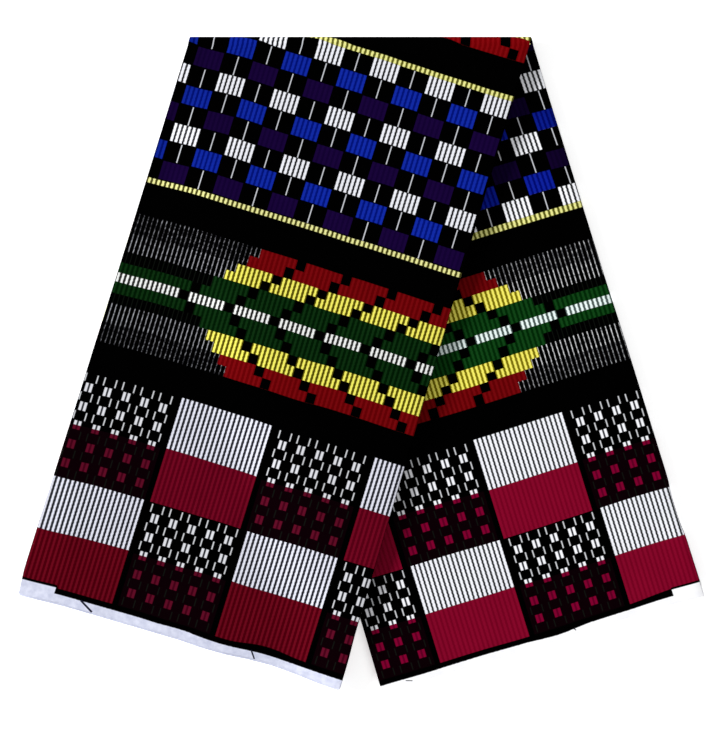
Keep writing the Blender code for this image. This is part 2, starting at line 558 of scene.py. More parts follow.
    def leg_place(
        self, point: SectionPoint, offset: float, height: float, leg: Leg, share: float
    ) -> tuple[float, float, float]:
        """Place a point on a leg, at a share of its length from the crease.

        Args:
            point: The point of the section.
            offset: Sideways distance past the point's fraction across.
            height: Height in the stack.
            leg: The leg that holds the point.
            share: Share of the leg's length, from 0 at the crease to 1 at its end.

        Returns:
            The place before the cloth is centred on its box.
        """
        start_x, start_y, start_z = self.bend_place(point, offset, height, leg.turn)
        across_x, across_y = leg.across
        down_x, down_y = leg.down
        reach = self.layer_reach(leg, height) + wave_at(leg.end_waves, point.across)
        end_x, end_y = leg.end_point(point.across)
        x = mix(start_x, end_x + offset * across_x + reach * down_x, share)
        y = mix(start_y, end_y + offset * across_y + reach * down_y, share)
        x += self.side_shift(point, leg, share)
        return x, y, start_z - (self.drop_at(x, y) if leg is LEFT_LEG else 0.0)

    def side_shift(self, point: SectionPoint, leg: Leg, share: float) -> float:
        """Work out how far the waves of a leg's sides move a point.

        Args:
            point: The point of the section.
            leg: The leg that holds the point.
            share: Share of the leg's length, from 0 at the crease to 1 at its end.

        Returns:
            The move to the right, in metres.
        """
        from_left = wave_at(leg.left_waves, share) * (1 - point.across) ** self.side_falloff
        from_right = wave_at(leg.right_waves, share) * point.across ** self.side_falloff
        return from_right - from_left

    def place(self, point: SectionPoint, face: int, station: Station) -> tuple[float, float, float]:
        """Place a vertex of the sheet.

        Args:
            point: The point of the section.
            face: 1 for the printed face and -1 for the back.
            station: The row of the mesh.

        Returns:
            The place before the cloth is centred on its box.
        """
        offset = point.reach + point.round + face * point.face_across * self.cloth / 2
        height = point.height + face * point.face_up * self.cloth / 2
        if station.leg is None:
            x, y, z = self.bend_place(point, offset, height, station.place)
        else:
            x, y, z = self.leg_place(point, offset, height, station.leg, station.place)
        ripple = sum(soft.rise_at(x, y) for soft in RIPPLES)
        return x, y, z + ripple * min(1.0, z / self.ripple_height)

    def measure(self, point: SectionPoint, station: Station) -> tuple[float, float]:
        """Work out where a vertex lies on the flat cloth.

        Args:
            point: The point of the section.
            station: The row of the mesh.

        Returns:
            The place along the cloth, and the place across it from the left leg's border.
        """
        if station.leg is None:
            share = (station.place + 1) / 2
            start_along, start_up = self.leg_measure(point, LEFT_LEG, 0.0)
            end_along, end_up = self.leg_measure(point, RIGHT_LEG, 0.0)
            return mix(start_along, end_along, share), mix(start_up, end_up, share)
        return self.leg_measure(point, station.leg, station.place)

    def leg_measure(self, point: SectionPoint, leg: Leg, share: float) -> tuple[float, float]:
        """Return where a point of a leg lies on the flat cloth.

        Args:
            point: The point of the section.
            leg: The leg that holds the point.
            share: Share of the leg's length, from 0 at the crease to 1 at its end.

        Returns:
            The place along the cloth, and the place across it from the left leg's border.
        """
        across_x, across_y = leg.across
        start_x, start_y, _ = self.bend_place(point, 0.0, 0.0, leg.turn)
        end_x, end_y = leg.end_point(point.across)
        down_x, down_y = leg.down
        length = (end_x - start_x) * down_x + (end_y - start_y) * down_y
        width = mix(self.crease_length * across_x, leg.end_width, share)
        from_border = (1 - share) * length - self.selvedge
        slipped = (from_border - leg.slip_low) / (leg.slip_high - leg.slip_low)
        shift = point.reach + self.side_shift(point, leg, share)
        shift += wave_at(leg.slip, point.across) * clamp(slipped)
        along = point.run + (width - self.panel) * point.taper + point.face_up * shift
        end_lean = wave_at(leg.end_lean, point.across)
        body_lean = wave_at(leg.body_lean, point.across)
        lean = mix(end_lean, body_lean, clamp(from_border / self.lean_height))
        lean += sum(pull.up * pull.share_at(point.across, from_border) for pull in leg.pulls)
        from_border += lean
        return along, self.print_length - from_border if leg is RIGHT_LEG else from_border

    def build(self, cad_low: Vector, cad_high: Vector) -> bpy.types.Object:
        """Build the sheet.

        Args:
            cad_low: Lowest corner of the solid that it stands for.
            cad_high: Highest corner of that solid.

        Returns:
            The mesh object, with its two maps.
        """
        section, rows = self.section(), self.stations()
        places = [
            self.place(point, face, station)
            for face in (1, -1)
            for station in rows
            for point in section
        ]
        lowest_x, highest_x = min(p[0] for p in places), max(p[0] for p in places)
        shift_x = (cad_low.x + cad_high.x) / 2 - (lowest_x + highest_x) / 2
        shift_y = cad_high.y - self.crease_y
        faces, bake_spots = self.faces(section, rows)
        mesh = bpy.data.meshes.new("wax_print_sheet")
        mesh.from_pydata([(x + shift_x, y + shift_y, z) for x, y, z in places], [], faces)
        measures = [self.measure(point, station) for station in rows for point in section] * 2
        print_map = mesh.uv_layers.new(name=PRINT_MAP)
        bake_map = mesh.uv_layers.new(name=BAKE_MAP)
        print_map.data.foreach_set("uv", [v for loop in mesh.loops for v in measures[loop.vertex_index]])
        bake_map.data.foreach_set("uv", [v for spot in bake_spots for v in spot])
        mesh.shade_smooth()
        mesh.set_sharp_from_angle(angle=math.radians(self.sharp_degrees))
        return add_object("wax_print_sheet", mesh)

    def faces(
        self, section: Sequence[SectionPoint], rows: Sequence[Station]
    ) -> tuple[list[tuple[int, ...]], list[tuple[float, float]]]:
        """Join the vertices, and lay every face out on the map that a bake uses.

        Args:
            section: The points of each row.
            rows: The rows of the mesh.

        Returns:
            The faces, and the place on the bake's map of each of their corners.
        """
        count, row_count = len(section), len(rows)
        layout = BakeLayout(self, section, rows)
        faces, spots = [], []

        def index(face: int, row: int, column: int) -> int:
            """Return the number of a vertex."""
            return (face * row_count + row) * count + column

        for row in range(row_count - 1):
            for column in range(count - 1):
                cells = ((row, column), (row, column + 1), (row + 1, column + 1), (row + 1, column))
                for face in (0, 1):
                    ring = cells if face == 0 else cells[::-1]
                    faces.append(tuple(index(face, *cell) for cell in ring))
                    spots.extend(layout.spots(face, row, column, ring))
        rims = [
            (strip, [((row, column), (row + 1, column)) for row in range(row_count - 1)], flip)
            for strip, (column, flip) in enumerate(((0, False), (count - 1, True)))
        ]
        rims += [
            (2 + strip, [((row, column), (row, column + 1)) for column in range(count - 1)], flip)
            for strip, (row, flip) in enumerate(((0, True), (row_count - 1, False)))
        ]
        for strip, edges, flip in rims:
            for step, (first, second) in enumerate(edges):
                ring = [(0, first), (0, second), (1, second), (1, first)]
                corners = layout.rim_spots(strip, step, len(edges))
                if flip:
                    ring, corners = ring[::-1], corners[::-1]
                faces.append(tuple(index(face, *cell) for face, cell in ring))
                spots.extend(corners)
        return faces, spots


class Band(NamedTuple):
    """A strip of the bake's map, right across it, from a low to a high place."""

    low: float
    high: float


@dataclass(frozen=True)
class BakeLayout:
    """Where the faces lie on the bake's map: most of it holds the two panels that show."""

    cloth: FoldedCloth
    section: Sequence[SectionPoint]
    rows: Sequence[Station]
    margin: float = 0.003
    left_panel: Band = Band(0.003, 0.438)
    right_panel: Band = Band(0.443, 0.878)
    fronts: Band = Band(0.883, 0.932)
    backs: Band = Band(0.936, 0.978)
    rims: Band = Band(0.981, 0.998)
    rim_count: int = 4
    rim_fill: float = 0.7

    def left_columns(self) -> tuple[int, int]:
        """Return the columns of the left leg's top panel, and of the fold beside it."""
        return 0, self.cloth.shown_columns + self.cloth.turn_steps

    def right_columns(self) -> tuple[int, int]:
        """Return the columns of the right leg's top panel, and of the fold beside it."""
        last = len(self.section) - 1
        return last - self.cloth.shown_columns - self.cloth.turn_steps, last

    def run_shares(self, low: int, high: int, column: int) -> float:
        """Return how far along the cloth a column is between two others."""
        start, end = self.section[low].run, self.section[high].run
        return (self.section[column].run - start) / (end - start)

    def spots(
        self, face: int, row: int, column: int, ring: Iterable[tuple[int, int]]
    ) -> list[tuple[float, float]]:
        """Return the places of a face's corners.

        Args:
            face: 0 for the printed face and 1 for the back.
            row: Row of the face.
            column: Column of the face.
            ring: Rows and columns of its corners, in order.

        Returns:
            A place for each corner.
        """
        bend_end = self.cloth.left_rows + self.cloth.bend_steps
        left, right = self.left_columns(), self.right_columns()
        if face == 0 and row < bend_end and column < left[1]:
            return [self.spot(self.left_panel, 0, bend_end, *left, *cell) for cell in ring]
        if face == 0 and row >= self.cloth.left_rows and column >= right[0]:
            last_row = len(self.rows) - 1
            first_row = self.cloth.left_rows
            return [self.spot(self.right_panel, first_row, last_row, *right, *cell) for cell in ring]
        band = self.fronts if face == 0 else self.backs
        columns = (0, len(self.section) - 1)
        return [self.spot(band, 0, len(self.rows) - 1, *columns, *cell) for cell in ring]

    def spot(
        self, band: Band, first_row: int, last_row: int, first: int, last: int, row: int, column: int
    ) -> tuple[float, float]:
        """Place one corner in a band, rows along it and columns across it.

        Args:
            band: The band of the map.
            first_row: The row at its start.
            last_row: The row at its end.
            first: The column at its low side.
            last: The column at its high side.
            row: Row of the corner.
            column: Column of the corner.

        Returns:
            The place on the map.
        """
        along = (row - first_row) / (last_row - first_row)
        across = self.run_shares(first, last, column)
        return mix(self.margin, 1 - self.margin, along), mix(band.low, band.high, across)

    def rim_spots(self, strip: int, step: int, steps: int) -> list[tuple[float, float]]:
        """Place the corners of one face of the sheet's four edges.

        Args:
            strip: Number of the edge.
            step: Number of the face along it.
            steps: How many faces the edge has.

        Returns:
            A place for each corner.
        """
        height = (self.rims.high - self.rims.low) / self.rim_count
        low = self.rims.low + strip * height
        high = low + self.rim_fill * height
        start = mix(self.margin, 1 - self.margin, step / steps)
        end = mix(self.margin, 1 - self.margin, (step + 1) / steps)
        return [(start, high), (end, high), (end, low), (start, low)]


class NodeBench:
    """Adds the nodes of one material."""

    def __init__(self, material: bpy.types.Material) -> None:
        """Take a material, and clear its nodes.

        Args:
            material: The material to fill.
        """
        material.use_nodes = True
        self.tree = material.node_tree
        self.tree.nodes.clear()

    def node(
        self, kind: str, settings: Optional[dict] = None, inputs: Optional[dict] = None
    ) -> bpy.types.Node:
        """Add a node.

        Args:
            kind: The node's type.
            settings: Its own settings, set before its sockets.
            inputs: Values or links by socket name or number.

        Returns:
            The node.
        """
        made = self.tree.nodes.new(kind)
        for name, value in (settings or {}).items():
            setattr(made, name, value)
        for name, value in (inputs or {}).items():
            self.feed(made.inputs[name], value)
        return made

    def feed(self, socket: bpy.types.NodeSocket, value: object) -> None:
        """Link a socket to a signal or another socket, or set its value."""
        if isinstance(value, Signal):
            value = value.socket
        if isinstance(value, bpy.types.NodeSocket):
            self.tree.links.new(value, socket)
        elif socket.type == "RGBA":
            socket.default_value = (*value, 1.0)
        else:
            socket.default_value = value

    def lay(self, under: Colour, over: Colour, mask: "Signal") -> bpy.types.NodeSocket:
        """Lay one colour over another where a mask is 1."""
        made = self.node(
            "ShaderNodeMix", {"data_type": "RGBA"}, {0: mask, MIX_UNDER: under, MIX_OVER: over}
        )
        return made.outputs[MIX_RESULT]

    def shade(self, sockets: dict) -> None:
        """Add a shader without gloss, and link it to the surface.

        Args:
            sockets: Values or links by socket name.
        """
        sockets = {"Specular IOR Level": 0.0, **sockets}
        shader = self.node("ShaderNodeBsdfPrincipled", None, sockets)
        self.node("ShaderNodeOutputMaterial", None, {"Surface": shader.outputs[0]})


class Signal:
    """A number that varies over the cloth, held by a socket."""

    def __init__(self, bench: NodeBench, socket: bpy.types.NodeSocket) -> None:
        """Wrap a socket of a bench's material."""
        self.bench = bench
        self.socket = socket

    def work(self, operation: str, *values: Number, clamp: bool = False) -> "Signal":
        """Add a Math node.

        Args:
            operation: The node's operation.
            values: What feeds its sockets, in order.
            clamp: Whether its result is kept from 0 to 1.

        Returns:
            Its result.
        """
        settings = {"operation": operation, "use_clamp": clamp}
        made = self.bench.node("ShaderNodeMath", settings, dict(enumerate(values)))
        return Signal(self.bench, made.outputs[0])

    def __add__(self, other: Number) -> "Signal":
        """Add."""
        return self.work("ADD", self, other)

    __radd__ = __add__

    def __sub__(self, other: Number) -> "Signal":
        """Take away."""
        return self.work("SUBTRACT", self, other)

    def __rsub__(self, other: Number) -> "Signal":
        """Take this away from a number."""
        return self.work("SUBTRACT", other, self)

    def __mul__(self, other: Number) -> "Signal":
        """Multiply."""
        return self.work("MULTIPLY", self, other)

    __rmul__ = __mul__

    def __truediv__(self, other: Number) -> "Signal":
        """Divide."""
        return self.work("DIVIDE", self, other)

    def __mod__(self, other: Number) -> "Signal":
        """Return what is left after whole steps, never negative."""
        return self.work("FLOORED_MODULO", self, other)

    def __gt__(self, other: Number) -> "Signal":
        """Return 1 where this is more."""
        return self.work("GREATER_THAN", self, other)

    def __lt__(self, other: Number) -> "Signal":
        """Return 1 where this is less."""
        return self.work("LESS_THAN", self, other)

    def __abs__(self) -> "Signal":
        """Return the size without its sign."""
        return self.work("ABSOLUTE", self)

    def floor(self) -> "Signal":
        """Round down to a whole number."""
        return self.work("FLOOR", self)

    def at_most(self, other: Number) -> "Signal":
        """Return the smaller of two values."""
        return self.work("MINIMUM", self, other)

    def at_least(self, other: Number) -> "Signal":
        """Return the larger of two values."""
        return self.work("MAXIMUM", self, other)

    def clamped(self) -> "Signal":
        """Keep it from 0 to 1."""
        return self.at_least(0.0).at_most(1.0)

    def sine(self) -> "Signal":
        """Return the sine."""
        return self.work("SINE", self)

    def inside(self, softness: float) -> "Signal":
        """Return 1 where this is above 0, over an edge of that width."""
        return self.work("MULTIPLY_ADD", self, 1 / softness, 0.5, clamp=True)

    def choose(self, where_off: Number, where_on: Number) -> "Signal":
        """Return one value where this is 0, and another where it is 1."""
        made = self.bench.node(
            "ShaderNodeMix", {"data_type": "FLOAT"}, {0: self, "A": where_off, "B": where_on}
        )
        return Signal(self.bench, made.outputs[0])


def linear(red: int, green: int, blue: int) -> RGB:
    """Turn a colour as a screen shows it into a linear one.

    Args:
        red: Its red, 0 to 255.
        green: Its green, 0 to 255.
        blue: Its blue, 0 to 255.

    Returns:
        The linear colour.
    """

    def part(value: int) -> float:
        """Turn one part of it.

        Args:
            value: The part, 0 to 255.

        Returns:
            The linear part, 0 to 1.
        """
        share = value / SCREEN_WHITE
        if share <= SCREEN_DARK:
            return share / SCREEN_DARK_SLOPE
        return ((share + SCREEN_OFFSET) / (1 + SCREEN_OFFSET)) ** SCREEN_POWER

    return part(red), part(green), part(blue)


@dataclass(frozen=True)
class Ink:
    """A printed colour: its bars, and the thin gaps between them."""

    bar: Colour
    gap: Colour


def ink(bar: tuple[int, int, int], gap: tuple[int, int, int]) -> Ink:
    """Mix an ink from the colours of its bars and gaps, as a screen shows them."""
    return Ink(linear(*bar), linear(*gap))


class Inks(Enum):
    """The inks of the print."""

    WHITE = ink((230, 231, 238), (16, 16, 19))
    BRIGHT_WHITE = ink((244, 245, 250), (10, 10, 13))
    NEAR_ARROW_WHITE = ink((231, 233, 231), (30, 30, 28))
    FAR_ARROW_WHITE = ink((228, 242, 239), (70, 85, 81))
    NEAR_WHITE = ink((222, 223, 236), (30, 31, 38))
    FAR_WHITE = ink((236, 237, 244), (16, 17, 22))
    MAROON = ink((100, 9, 25), (68, 0, 10))
    UPPER_MAROON = ink((105, 8, 30), (79, 1, 18))
    CRIMSON = ink((126, 8, 39), (109, 3, 30))
    BLUE = ink((17, 40, 156), (3, 17, 111))
    FAR_BLUE = ink((15, 33, 156), (2, 11, 110))
    PURPLE = ink((23, 5, 53), (18, 3, 46))
    FAR_PURPLE = ink((19, 4, 45), (15, 3, 38))
    YELLOW = ink((236, 230, 96), (78, 70, 2))
    FAR_YELLOW = ink((239, 231, 98), (116, 105, 1))
    BEAD = ink((226, 225, 150), (64, 61, 14))
    VIVID_BEAD = ink((229, 228, 142), (86, 85, 18))
    RED = ink((111, 8, 12), (92, 2, 5))
    STEP_RED = ink((120, 8, 12), (103, 2, 5))
    GREEN = ink((13, 44, 15), (2, 23, 4))
    FAR_GREEN = ink((16, 63, 21), (2, 37, 6))
    LINE = ink((190, 192, 198), (1, 1, 1))
    GREY = ink((190, 191, 198), (38, 38, 42))
    FAR_GREY = ink((252, 253, 255), (88, 89, 94))
    GROUND_LINE = ink((15, 19, 15), (2, 2, 2))
    DOT_GROUND = ink((10, 1, 4), (10, 1, 4))
    DOT_LINE = ink((206, 208, 212), (1, 1, 1))
    DOT = ink((88, 12, 34), (60, 3, 20))
    FAR_DOT = ink((122, 2, 44), (90, 0, 32))
    WHITE_DOT = ink((214, 215, 221), (40, 41, 46))
    FAR_WHITE_DOT = ink((240, 241, 246), (50, 51, 56))


BLACK = linear(1, 1, 1)
NEAR_SELVEDGE = ink((194, 198, 220), (217, 220, 238))
FAR_SELVEDGE = ink((246, 246, 250), (250, 250, 252))
TICK_DYE = linear(26, 27, 44)


class Halves(NamedTuple):
    """A value for the near half of the cloth, and one for the far half."""

    near: Number
    far: Number


@dataclass(frozen=True)
class Rows:
    """Where the rows of the print start and end, up from a border."""

    border: float = 5.5
    lower_white: Halves = Halves(57.6, 56.4)
    blocks_middle: float = 106.5
    upper_white: Halves = Halves(158.2, 156.2)
    blocks_top: float = 207.3
    arrow_low: float = 237.3
    arrow_high: float = 360.5
    yellow_low: float = 390.8
    yellow_height: float = 4.8
    checks_low: float = 395.6
    check_triple: float = 55.5
    check_triples: int = 3
    stepped_low: float = 598.6
    stepped_row: float = 9.75
    stepped_rows: int = 2
    far_start: float = 622.0
    print_length: float = 1159.6

    @property
    def checks_high(self) -> float:
        """Top of the checks."""
        return self.checks_low + self.check_triples * self.check_triple

    @property
    def stepped_high(self) -> float:
        """Top of the red steps."""
        return self.stepped_low + self.stepped_rows * self.stepped_row


class Knot(NamedTuple):
    """A place on the far half of the cloth, and the same row's place on the chart."""

    cloth: float
    chart: float


FAR_KNOTS = (
    Knot(0.0, 0.0),
    Knot(98.2, 106.5),
    Knot(193.8, 207.3),
    Knot(222.7, 237.3),
    Knot(340.0, 361.0),
    Knot(370.8, 390.8),
    Knot(376.8, 395.6),
)
FAR_SLOPE = 0.989

NEAR_ARROW_EDGES = (
    237.3, 246.8, 256.3, 265.8, 275.2, 285.2, 296.0, 304.6, 314.2, 324.8, 333.2, 341.4, 351.7,
)
FAR_ARROW_EDGES = (
    222.6, 232.7, 241.3, 249.0, 258.3, 268.5, 277.6, 285.6, 295.4, 303.9, 313.4, 321.9, 330.9,
)


class CheckRows(NamedTuple):
    """Where three rows of checks start and end, up from the lowest one's start."""

    purple: Band
    blue: Band
    white: Band
    breaks: tuple[float, float]


NEAR_CHECK_ROWS = CheckRows(Band(1.2, 18.3), Band(19.6, 36.8), Band(38.1, 55.4), (18.9, 37.4))
FAR_CHECK_ROWS = CheckRows(Band(35.8, 52.2), Band(18.0, 35.6), Band(0.2, 17.8), (17.9, 35.7))


class Ribs(NamedTuple):
    """Where ribs start along the cloth, and how far apart they are."""

    start: float
    pitch: float


class Tick(NamedTuple):
    """A stroke of stray dye on a selvedge, from one place on the chart to another."""

    far: bool
    start: tuple[float, float]
    end: tuple[float, float]
    half: float


TICKS = (
    Tick(False, (58.6, 0.4), (71.6, -7.3), 0.95),
    Tick(False, (223.4, 1.0), (229.4, -7.6), 0.70),
    Tick(True, (288.0, -1.6), (282.0, -3.6), 0.45),
    Tick(True, (124.5, -0.5), (123.0, -3.0), 0.45),
)


class Hump(NamedTuple):
    """Where a border's edge rises or dips along the cloth, how far around it and by how much."""

    far: bool
    middle: float
    half: float
    rise: float


MAROON_HUMPS = (
    Hump(False, 236.0, 34.0, 2.0),
    Hump(True, 10.0, 60.0, 2.4),
)
GROUND_HUMPS = (
    Hump(False, 152.0, 24.0, 0.8),
    Hump(True, 140.0, 34.0, -1.7),
)


class BarePlace(NamedTuple):
    """A place in a border that the black ground leaves bare, and how high it goes."""

    far: bool
    middle: float
    half: float
    top: float
    line: float


BARE_PLACES = (
    BarePlace(False, 0.0, 33.0, 6.0, 2.5),
    BarePlace(True, -1.5, 28.5, 6.4, 2.2),
)


@dataclass(frozen=True)
class DottedBlocks:
    """Sizes of the dotted blocks and the solid blocks between them, across in ribs."""

    repeat: float = 42.0
    half_repeat: float = 21.0
    solid_end: float = 20.0
    dotted_end: float = 41.0
    trim: float = 0.4
    column: float = 4.0
    dot_aside: float = 0.52
    dot_width: float = 0.62
    pair_width: float = 1.5
    dash_aside: float = 1.23
    dash_width: float = 0.23
    white_depth: float = 50.5
    row_pitch: float = 18.12
    first_dots: float = 14.3
    dots_half: float = 4.05
    first_dashes: float = 5.2
    dashes_half: float = 3.8
    dots_high: float = 5.0
    dots_low: float = 98.5
    bare_clear: float = 3.0
    bare_soft: float = 6.0


@dataclass(frozen=True)
class Arrows:
    """Sizes of the nested arrows, across in ribs, and their rows, counted from the middle."""

    middle_row: float = 7.0
    white_rows: tuple[int, int] = (0, 0)
    green_rows: tuple[int, int] = (1, 2)
    yellow_rows: tuple[int, int] = (3, 4)
    red_rows: tuple[int, int] = (5, 7)
    lead_in_rows: tuple[int, int] = (0, 1)
    dark_rows: tuple[int, int] = (2, 2)
    grey_rows: tuple[int, int] = (3, 7)
    lean: float = 2.0
    repeat: float = 10.0
    printed: float = 7.5
    lead_in: float = -2.5
    thin_width: float = 0.15
    rib_spread: float = 5.3
    speckle_scale: float = 0.35
    speckle_detail: float = 2.0
    speckle_contrast: float = 3.4
    speckle_floor: float = 1.1
    outer_fade: float = 0.52
    steps: Ribs = Ribs(252.8, 4.41)


class EdgeShade(NamedTuple):
    """How far from the cloth's outer edge a painted shade darkens the checks, and how dark it is at the
    edge.
    """

    reach: float
    dark: float


@dataclass(frozen=True)
class Checks:
    """Sizes of the checks, as shares of a pair of them, and of the painted shade over them."""

    ribs: int = 12
    rows: int = 3
    low: float = 0.017
    high: float = 0.483
    thread_place: float = 0.75
    thread_half: float = 0.0095
    thread_soft: float = 0.006
    thread_clear: float = 0.5
    # Painted shade: the blue and purple checks darken towards the cloth's outer edges, steeply near the
    # edge and gently across the leg.
    edge_shade: tuple[EdgeShade, EdgeShade] = (EdgeShade(24.0, 0.26), EdgeShade(160.0, 0.13))


@dataclass(frozen=True)
class Selvedges:
    """How ragged and how blotched the selvedges are."""

    ragged_scale: float = 0.35
    ragged_detail: float = 3.0
    ragged: float = 0.9
    blotch_scale: float = 0.16
    blotch_detail: float = 4.0
    blotch_contrast: float = 3.0
    soft: float = 0.5
    tick_soft: float = 0.3


@dataclass(frozen=True)
class CottonFinish:
    """The cloth's own unevenness, weave and roughness."""

    mottle_scale: float = 0.03
    mottle_detail: float = 3.0
    mottle: float = 0.22
    mottle_low: float = 0.89
    thread_pitch: float = 0.9
    bump_strength: float = 0.25
    bump_distance: float = 0.00008
    roughness: float = 0.78


class Hatch(NamedTuple):
    """A slanting ripple that roughens the edges of the bars, in radians for each millimetre."""

    along: float
    up: float


HATCHES = (Hatch(2.1, 1.75), Hatch(5.3, 4.1))


@dataclass(frozen=True)
class PrintChart:
    """The print, as nodes that read the cloth's own measure."""

    rows: Rows = Rows()
    blocks: DottedBlocks = DottedBlocks()
    arrows: Arrows = Arrows()
    checks: Checks = Checks()
    selvedges: Selvedges = Selvedges()
    cotton: CottonFinish = CottonFinish()
    panel: float = 307.5
    far_panel: int = 5
    block_ribs: tuple[Ribs, Ribs] = (Ribs(-1.35, 4.472), Ribs(-19.1, 4.39))
    arrow_ribs: tuple[Ribs, Ribs] = (Ribs(70.7, 4.41), Ribs(53.1, 4.41))
    check_pairs: tuple[Ribs, Ribs] = (Ribs(9.9, 53.65), Ribs(45.3, 54.45))
    near_yellow: Ribs = Ribs(10.05, 4.424)
    upper_slip: Halves = Halves(0.15, -0.4)
    bar_width: Halves = Halves(0.47, 0.57)
    arrow_bar_width: Halves = Halves(0.47, 0.50)
    check_bar_width: float = 0.55
    bead_width: float = 0.50
    jag: float = 0.07
    edge: float = 0.16
    # Painted shade on the fold along the left leg's right edge: the checks stay black ground within a band
    # round this place.
    fold_along: float = 307.4
    painted_fold_shade_half: float = 2.4
    painted_fold_shade_soft: float = 0.4
    row_edge: float = 0.35

    def dress(self, material: bpy.types.Material) -> None:
        """Fill a material with the print and the cloth's finish.

        Args:
            material: The material to fill.
        """
        bench = NodeBench(material)
        place = bench.node("ShaderNodeUVMap", {"uv_map": PRINT_MAP})
        parts = bench.node("ShaderNodeSeparateXYZ", None, {"Vector": place.outputs["UV"]})
        along, up = (Signal(bench, parts.outputs[axis]) * MM_PER_METRE for axis in ("X", "Y"))
        PrintPainter(self, bench, along, up).paint()


class PrintPainter:
    """Lays the print's inks over its black ground, one motif at a time."""

    def __init__(self, chart: PrintChart, bench: NodeBench, along: Signal, up: Signal) -> None:
        """Work out which half of the cloth a place is on, and its place on the chart.

        Args:
            chart: The print's sizes.
            bench: What adds the nodes.
            along: Place along the cloth.
            up: Place across the cloth, from the left leg's border.
        """
        self.chart, self.bench, self.rows = chart, bench, chart.rows
        self.along, self.up = along, up
        self.far = up > chart.rows.far_start
        self.far_along = along - chart.panel * chart.far_panel
        self.far_up = chart.rows.print_length - up
        self.level = self.pick(Halves(up, self.far_level(self.far_up)))
        coarse, fine = ((along * hatch.along + up * hatch.up).sine() for hatch in HATCHES)
        self.jag = (coarse * 0.5 + fine * 0.5) * chart.jag
        self.bar_width = self.pick(chart.bar_width)
        # Painted shade: the checks and their thin lines are left as black ground near the fold along the
        # left leg's right edge.
        off_painted_fold_shade = abs(along - chart.fold_along) - chart.painted_fold_shade_half
        self.off_painted_fold_shade = off_painted_fold_shade.inside(chart.painted_fold_shade_soft)
        self.colour: Colour = BLACK

    def far_level(self, up: Signal) -> Signal:
        """Find the chart's level of a place on the far half.

        Args:
            up: Place across the cloth, up from the far half's border.

        Returns:
            The level.
        """
        first, second = FAR_KNOTS[0], FAR_KNOTS[1]
        level = up.at_most(second.cloth) * (second.chart / (second.cloth - first.cloth))
        for low, high in zip(FAR_KNOTS[1:], FAR_KNOTS[2:]):
            stretch = {
                "Value": up, "From Min": low.cloth, "From Max": high.cloth,
                "To Min": 0.0, "To Max": high.chart - low.chart,
            }
            piece = self.bench.node("ShaderNodeMapRange", {"clamp": True}, stretch)
            level = level + Signal(self.bench, piece.outputs[0])
        return level + (up - FAR_KNOTS[-1].cloth).at_least(0.0) * FAR_SLOPE

    def half_of(self, far: bool) -> tuple[Signal, Signal]:
        """Return a mask of one half of the cloth, and the place along it there."""
        return (self.far, self.far_along) if far else (1 - self.far, self.along)

    def pick(self, halves: Halves) -> Signal:
        """Return the value of the half of the cloth that a place is on."""
        return self.far.choose(halves.near, halves.far)

    def ribs(self, near: Ribs, far: Ribs) -> Signal:
        """Return how many ribs along a place is."""
        near_count = (self.along - near.start) / near.pitch
        return self.pick(Halves(near_count, (self.far_along - far.start) / far.pitch))

    def bar(self, rib: Signal, width: Number) -> Signal:
        """Return a mask of one printed bar in the middle of each rib."""
        return (width / 2 - abs(rib % 1.0 - 0.5) + self.jag).inside(self.chart.edge)

    def line(self, distance: Signal, width: float) -> Signal:
        """Return a mask of a line of that width, where a distance is near 0."""
        return (width / 2 - abs(distance)).inside(self.chart.edge)

    def band(self, low: float, high: float) -> Signal:
        """Return a mask of the rows between two levels of the chart."""
        soft = self.chart.row_edge
        return (self.level - low).inside(soft) * (high - self.level).inside(soft)

    def among(self, step: Signal, rows: tuple[int, int]) -> Signal:
        """Return 1 where a whole number is from a first one to a last one."""
        return (step > rows[0] - 0.5) * (step < rows[1] + 0.5)

    def lay(self, colour: Colour, mask: Signal) -> None:
        """Lay a colour over what is there."""
        self.colour = self.bench.lay(self.colour, colour, mask)

    def lay_ink(self, ink: Ink, area: Signal, bars: Signal) -> None:
        """Print an area in an ink: its gaps, and then its bars."""
        self.lay(ink.gap, area)
        self.lay(ink.bar, area * bars)

    def blend(self, under: Ink, over: Ink, mask: Signal) -> Ink:
        """Turn one ink into another where a mask is 1."""
        lay = self.bench.lay
        return Ink(lay(under.bar, over.bar, mask), lay(under.gap, over.gap, mask))

    def lay_halves(self, near: Inks, far: Inks, area: Signal, bars: Signal) -> None:
        """Print an area in one ink on the near half of the cloth, and in another on the far half."""
        self.lay_ink(self.blend(near.value, far.value, self.far), area, bars)

    def paint(self) -> None:
        """Paint every motif, and link the finish."""
        self.paint_blocks()
        self.paint_arrows()
        self.paint_yellow_rows()
        self.paint_checks()
        self.paint_stepped_row()
        self.paint_selvedge()
        self.finish()

    def paint_blocks(self) -> None:
        """Paint the two rows of solid blocks and dotted blocks, half white and half red."""
        rows, chart, sizes = self.rows, self.chart, self.chart.blocks
        upper = self.level > rows.blocks_middle
        rib = self.ribs(*chart.block_ribs) + upper * self.pick(chart.upper_slip)
        down = upper.choose(rows.blocks_middle, rows.blocks_top) - self.level
        place = (rib + upper * sizes.half_repeat) % sizes.repeat
        foot = rows.border + self.humps(MAROON_HUMPS)
        for bare in BARE_PLACES:
            share = self.bare_share(bare, sizes.bare_clear, sizes.bare_soft)
            foot = foot.at_least(share * (bare.top + bare.line))
        area = self.band(foot, rows.blocks_top)
        self.paint_solid_blocks(area, upper, rib, place)
        self.paint_dotted_blocks(area, place, down)

